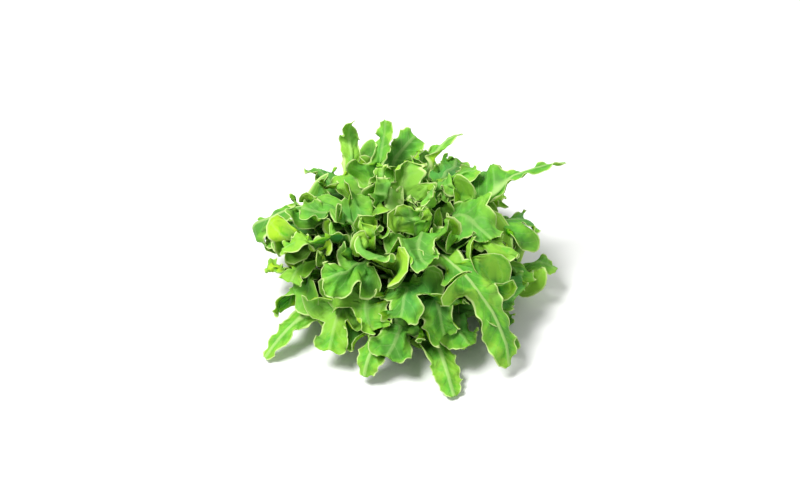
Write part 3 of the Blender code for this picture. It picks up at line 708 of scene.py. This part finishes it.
def stemMaterial():
    kit = Nodes("stemFlesh")
    place = kit.add("ShaderNodeSeparateXYZ")
    kit.link(kit.add("ShaderNodeTexCoord").outputs["Object"], place.inputs[0])
    colour = kit.mix(kit.noise(*stemPaint["skinNoise"]), stemPaint["flesh"], stemPaint["skin"])
    ring = kit.rise(kit.noise(*stemPaint["cutNoise"]), *stemPaint["cutFade"])
    foot = kit.rise(place.outputs["Z"], stemPaint["cutHeight"], 0.0)
    colour = kit.mix(kit.times(foot, ring), colour, stemPaint["cut"])
    kit.dress(colour, kit.noise(*stemPaint["bumpNoise"]), stemPaint)
    return kit.material


# The fine blade, in millimetres: the grid, the frill and roll along the margin, the puffed quilting
# between the veins and the rib with its groove. Pairs are as in leafForm.
fineLeaf = {
    "seed": 11, "rows": 92, "columns": 41, "heartRows": 66, "heartColumns": 33,
    "stalkRows": ((0.0, 0.15, 1.0), (0.0, 0.3, 1.0)), "crowding": 0.86,
    "frill": 3.2, "frillLength": 27.0, "frillDepth": 10.0, "frillFromRib": 9.0, "frillStart": (0.12, 0.15),
    "lastStart": 6.28, "sideShift": 2.0, "uneven": 1.3, "unevenSpeed": 0.31, "roll": 2.0, "rollDepth": 6.0,
    "quilt": 1.2, "quiltFromRim": 6.0, "quiltFromRib": 5.0, "quiltStart": (0.15, 0.2),
    "groove": 0.5, "grooveWidth": 1.6, "leastMove": 0.2,
    "marginThickness": 0.45, "ribThickness": 2.4, "ribWidth": 2.2, "ribThinning": 0.75, "groundEase": 3.0,
    # how pale the rib is, on the leaves that stand out and on the rest, and how young each ring is
    "standoutRib": 0.95, "rib": 0.45, "ribFading": 0.5,
    "young": {"small_leaf": 0.9, "heart_leaf": 0.6, "crown_leaf": 0.2},
}

# what stands round each spot of a leaf, in millimetres: the sky it loses, which the leaf's colour shows as
# painted shade, and how far off the next leaf is
around = {
    "seed": 5, "rowStep": 4, "columnStep": 4, "reach": 45.0, "start": 2.5, "room": 6.0, "skin": 0.6,
    # the rays rise from the lowest height over a share of the sky, and turn by radians from one to the next
    "rays": 14, "lowest": 0.12, "heights": 0.86, "turn": 2.4, "jitter": 0.5,
}


# all the leaves' blades as one coarse set of sheets, for rays and for the room between leaves
def headSheets(leaves):
    corners = []
    sheets = []
    tris = gridTris(len(testAlong), len(testAcross))
    for leaf in leaves:
        first = len(corners)
        corners += bladePoints(leaf, testAlong, testAcross).reshape(-1, 3).tolist()
        sheets += [tuple(first + corner for corner in tri) for tri in tris]
    return {
        "tree": BVHTree.FromPolygons(corners, sheets), "faces": len(sheets) // len(leaves),
        "rays": skyRays(random.Random(around["seed"])),
    }


def skyRays(draw):
    rays = []
    for number in range(around["rays"]):
        height = around["lowest"] + around["heights"] * (number + 0.5) / around["rays"]
        angle = around["turn"] * number + draw.uniform(0.0, around["jitter"])
        level = math.sqrt(1.0 - height ** 2)
        rays.append(Vector((level * math.cos(angle), level * math.sin(angle), height)))
    return rays


def coveredShare(spot, head):
    hits = [head["tree"].ray_cast(spot + ray * around["start"], ray, around["reach"])[0]
            for ray in head["rays"]]
    return sum(hit is not None for hit in hits) / len(hits)


def roomAround(spot, head, own):
    near = head["tree"].find_nearest_range(spot, around["room"])
    gaps = [gap for place, normal, face, gap in near if face // head["faces"] != own]
    return min(gaps, default=around["room"])


# a measure taken at some of the grid's points and spread over the rest
def spreadOver(points, measure):
    rows, columns = points.shape[:2]
    someRows = np.unique(np.append(np.arange(0, rows, around["rowStep"]), rows - 1))
    someColumns = np.unique(np.append(np.arange(0, columns, around["columnStep"]), columns - 1))
    values = [[measure(Vector(points[i, j])) for j in someColumns] for i in someRows]
    wide = np.array([np.interp(np.arange(columns), someColumns, line) for line in values])
    return np.array([np.interp(np.arange(rows), someRows, line) for line in wide.T]).T


# how far each spot is from the margin, how far along the margin its nearest spot is, and how far off the rib
def rimDistance(leaf, along, across, side):
    width = halfWidth(leaf, along, side)[0]
    edge = np.stack([along * leaf["length"] + leanOf(leaf, width / leaf["width"]), width], 1)
    fromRib = np.abs(across)[None, :] * width[:, None]
    lean = leanOf(leaf, fromRib / leaf["width"])
    flat = np.stack([along[:, None] * leaf["length"] + lean, fromRib], 2)
    gap = np.linalg.norm(flat[:, :, None, :] - edge[None, None, :, :], axis=3)
    lengths = np.concatenate([[0.0], np.cumsum(np.linalg.norm(np.diff(edge, axis=0), axis=1))])
    return gap.min(2), lengths[gap.argmin(2)], fromRib


# how far the blade's detail moves each spot off the leaf's form
def detailOf(leaf, draw, along, across, rim, track, fromRib):
    spread = smooth(fromRib / fineLeaf["frillFromRib"]) * ramp(along[:, None], *fineLeaf["frillStart"])
    start = draw.uniform(0.0, fineLeaf["lastStart"])
    turn = fullTurn * track / fineLeaf["frillLength"] + start
    turn = turn + np.where(across[None, :] > 0, 0.0, fineLeaf["sideShift"])
    sway = np.sin(turn + fineLeaf["uneven"] * np.sin(fineLeaf["unevenSpeed"] * turn + start))
    frill = fineLeaf["frill"] * spread * np.exp(-(rim / fineLeaf["frillDepth"]) ** 2) * sway
    lean = along[:, None] * leaf["length"] - leafPaint["veinLean"] * fromRib
    quilt = fineLeaf["quilt"] * np.abs(np.sin(math.pi * lean / leafPaint["veinSpacing"]))
    quilt = quilt * smooth(rim / fineLeaf["quiltFromRim"]) * smooth(fromRib / fineLeaf["quiltFromRib"])
    quilt = quilt * ramp(along[:, None], *fineLeaf["quiltStart"])
    groove = fineLeaf["groove"] * np.exp(-(fromRib / fineLeaf["grooveWidth"]) ** 2)
    roll = fineLeaf["roll"] * spread * np.exp(-(rim / fineLeaf["rollDepth"]) ** 2)
    return frill + roll + quilt, groove


def fineBlade(leaf, draw, head, own):
    rows = fineLeaf["heartRows" if leaf["fused"] else "rows"]
    columns = fineLeaf["heartColumns" if leaf["fused"] else "columns"]
    along = np.interp(np.linspace(0.0, 1.0, rows), *fineLeaf["stalkRows"])
    across = np.sin(np.linspace(-0.5 * math.pi, 0.5 * math.pi, columns) * fineLeaf["crowding"])
    across = across / math.sin(0.5 * fineLeaf["crowding"] * math.pi)
    points = bladePoints(leaf, along, across)
    # the share of sky that other leaves hide, painted into the leaf's colour as shade
    covered = spreadOver(points, lambda spot: coveredShare(spot, head))
    room = spreadOver(points, lambda spot: roomAround(spot, head, own))
    rim, track, fromRib = (np.zeros((rows, columns)) for field in range(3))
    for side, mask in ((1, across >= 0), (-1, across < 0)):
        rim[:, mask], track[:, mask], fromRib[:, mask] = rimDistance(leaf, along, across[mask], side)
    rim = np.minimum(rim, (1.02 - along[:, None]) * leaf["length"])
    normals = np.cross(np.gradient(points, axis=0), np.gradient(points, axis=1))
    normals = -normals / lengthsOf(normals, 2)
    detail, groove = detailOf(leaf, draw, along, across, rim, track, fromRib)
    most = np.maximum(0.5 * (room - around["skin"]), fineLeaf["leastMove"])
    points = points + normals * (np.clip(detail, -most, most) - groove)[..., None]
    lowest = ground["gap"] + 0.5 * fineLeaf["ribThickness"] * np.exp(-fromRib / fineLeaf["groundEase"])
    points[..., 2] = np.maximum(points[..., 2], lowest)
    ribWeight = np.exp(-(fromRib / fineLeaf["ribWidth"]) ** 2)
    ribWeight = ribWeight * (1.0 - fineLeaf["ribThinning"] * smooth(along)[:, None])
    ribTone = leaf["ribTone"] * (1.0 - fineLeaf["ribFading"] * along[:, None])
    flat = np.zeros_like(rim)
    return points * mm, {
        "rim": rim, "fromRib": fromRib, "alongRib": along[:, None] * leaf["length"] + flat,
        "tone": flat + leaf["tone"], "young": flat + leaf["young"], "covered": covered,
        "ribTone": flat + ribTone, "ribWeight": ribWeight,
    }


def fineMesh(name, blades):
    bm = bmesh.new()
    fields = {key: [] for key in blades[0][1]}
    places = []
    for points, marks in blades:
        rows, columns = points.shape[:2]
        bmesh.ops.create_grid(bm, x_segments=columns - 1, y_segments=rows - 1, size=1.0)
        places.append(points.reshape(-1, 3))
        for key in fields:
            fields[key].append(marks[key].reshape(-1))
    mesh = bpy.data.meshes.new(name)
    bm.to_mesh(mesh)
    bm.free()
    mesh.vertices.foreach_set("co", np.concatenate(places).reshape(-1).astype(np.float32))
    for key, values in fields.items():
        layer = mesh.attributes.new(key, "FLOAT", "POINT")
        layer.data.foreach_set("value", np.concatenate(values).astype(np.float32))
    mesh.polygons.foreach_set("use_smooth", [True] * len(mesh.polygons))
    mesh.update()
    return mesh


def finePiece(name, blades, materials):
    mesh = fineMesh(name, blades)
    for material in materials:
        mesh.materials.append(material)
    thing = bpy.data.objects.new(name, mesh)
    bpy.context.scene.collection.objects.link(thing)
    group = thing.vertex_groups.new(name="rib")
    weights = np.zeros(len(mesh.vertices), np.float32)
    mesh.attributes["ribWeight"].data.foreach_get("value", weights)
    for index, weight in enumerate(weights):
        if weight > 0.01:
            group.add([index], float(weight), "REPLACE")
    solid = thing.modifiers.new("thickness", "SOLIDIFY")
    solid.thickness = fineLeaf["ribThickness"] * mm
    solid.offset = 0.0
    solid.vertex_group = "rib"
    solid.thickness_vertex_group = fineLeaf["marginThickness"] / fineLeaf["ribThickness"]
    solid.material_offset = 1
    return thing


makeCamera()
makeLights()
makeFloor()
print("camera, lights and floor made")

upperSide = leafMaterial("leafUpper", False)
underSide = leafMaterial("leafUnder", True)
leaves = planLeaves()
bendClear(leaves)
trimClear(leaves)
print("leaves bent clear of each other:", len(leaves))

draw = random.Random(fineLeaf["seed"])
heartBlades = []
head = headSheets(leaves)
for number, leaf in enumerate(leaves):
    leaf["tone"] = draw.uniform(0.0, 1.0)
    leaf["young"] = fineLeaf["young"].get(leaf["name"][:-3], 0.0)
    leaf["ribTone"] = fineLeaf["standoutRib" if leaf["lobes"] == longTip else "rib"]
    blade = fineBlade(leaf, draw, head, number)
    if leaf["fused"]:
        heartBlades.append(blade)
        continue
    piece = finePiece(leaf["name"].replace("_leaf_", "Leaf"), [blade], (upperSide, underSide))
    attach(piece, "root")
    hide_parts(leaf["name"])
heart = finePiece("heartLeaves", heartBlades, (upperSide, underSide))
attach(heart, "root")
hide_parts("heart")
print("fine leaves made")

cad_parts["stem"].data.materials.clear()
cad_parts["stem"].data.materials.append(stemMaterial())
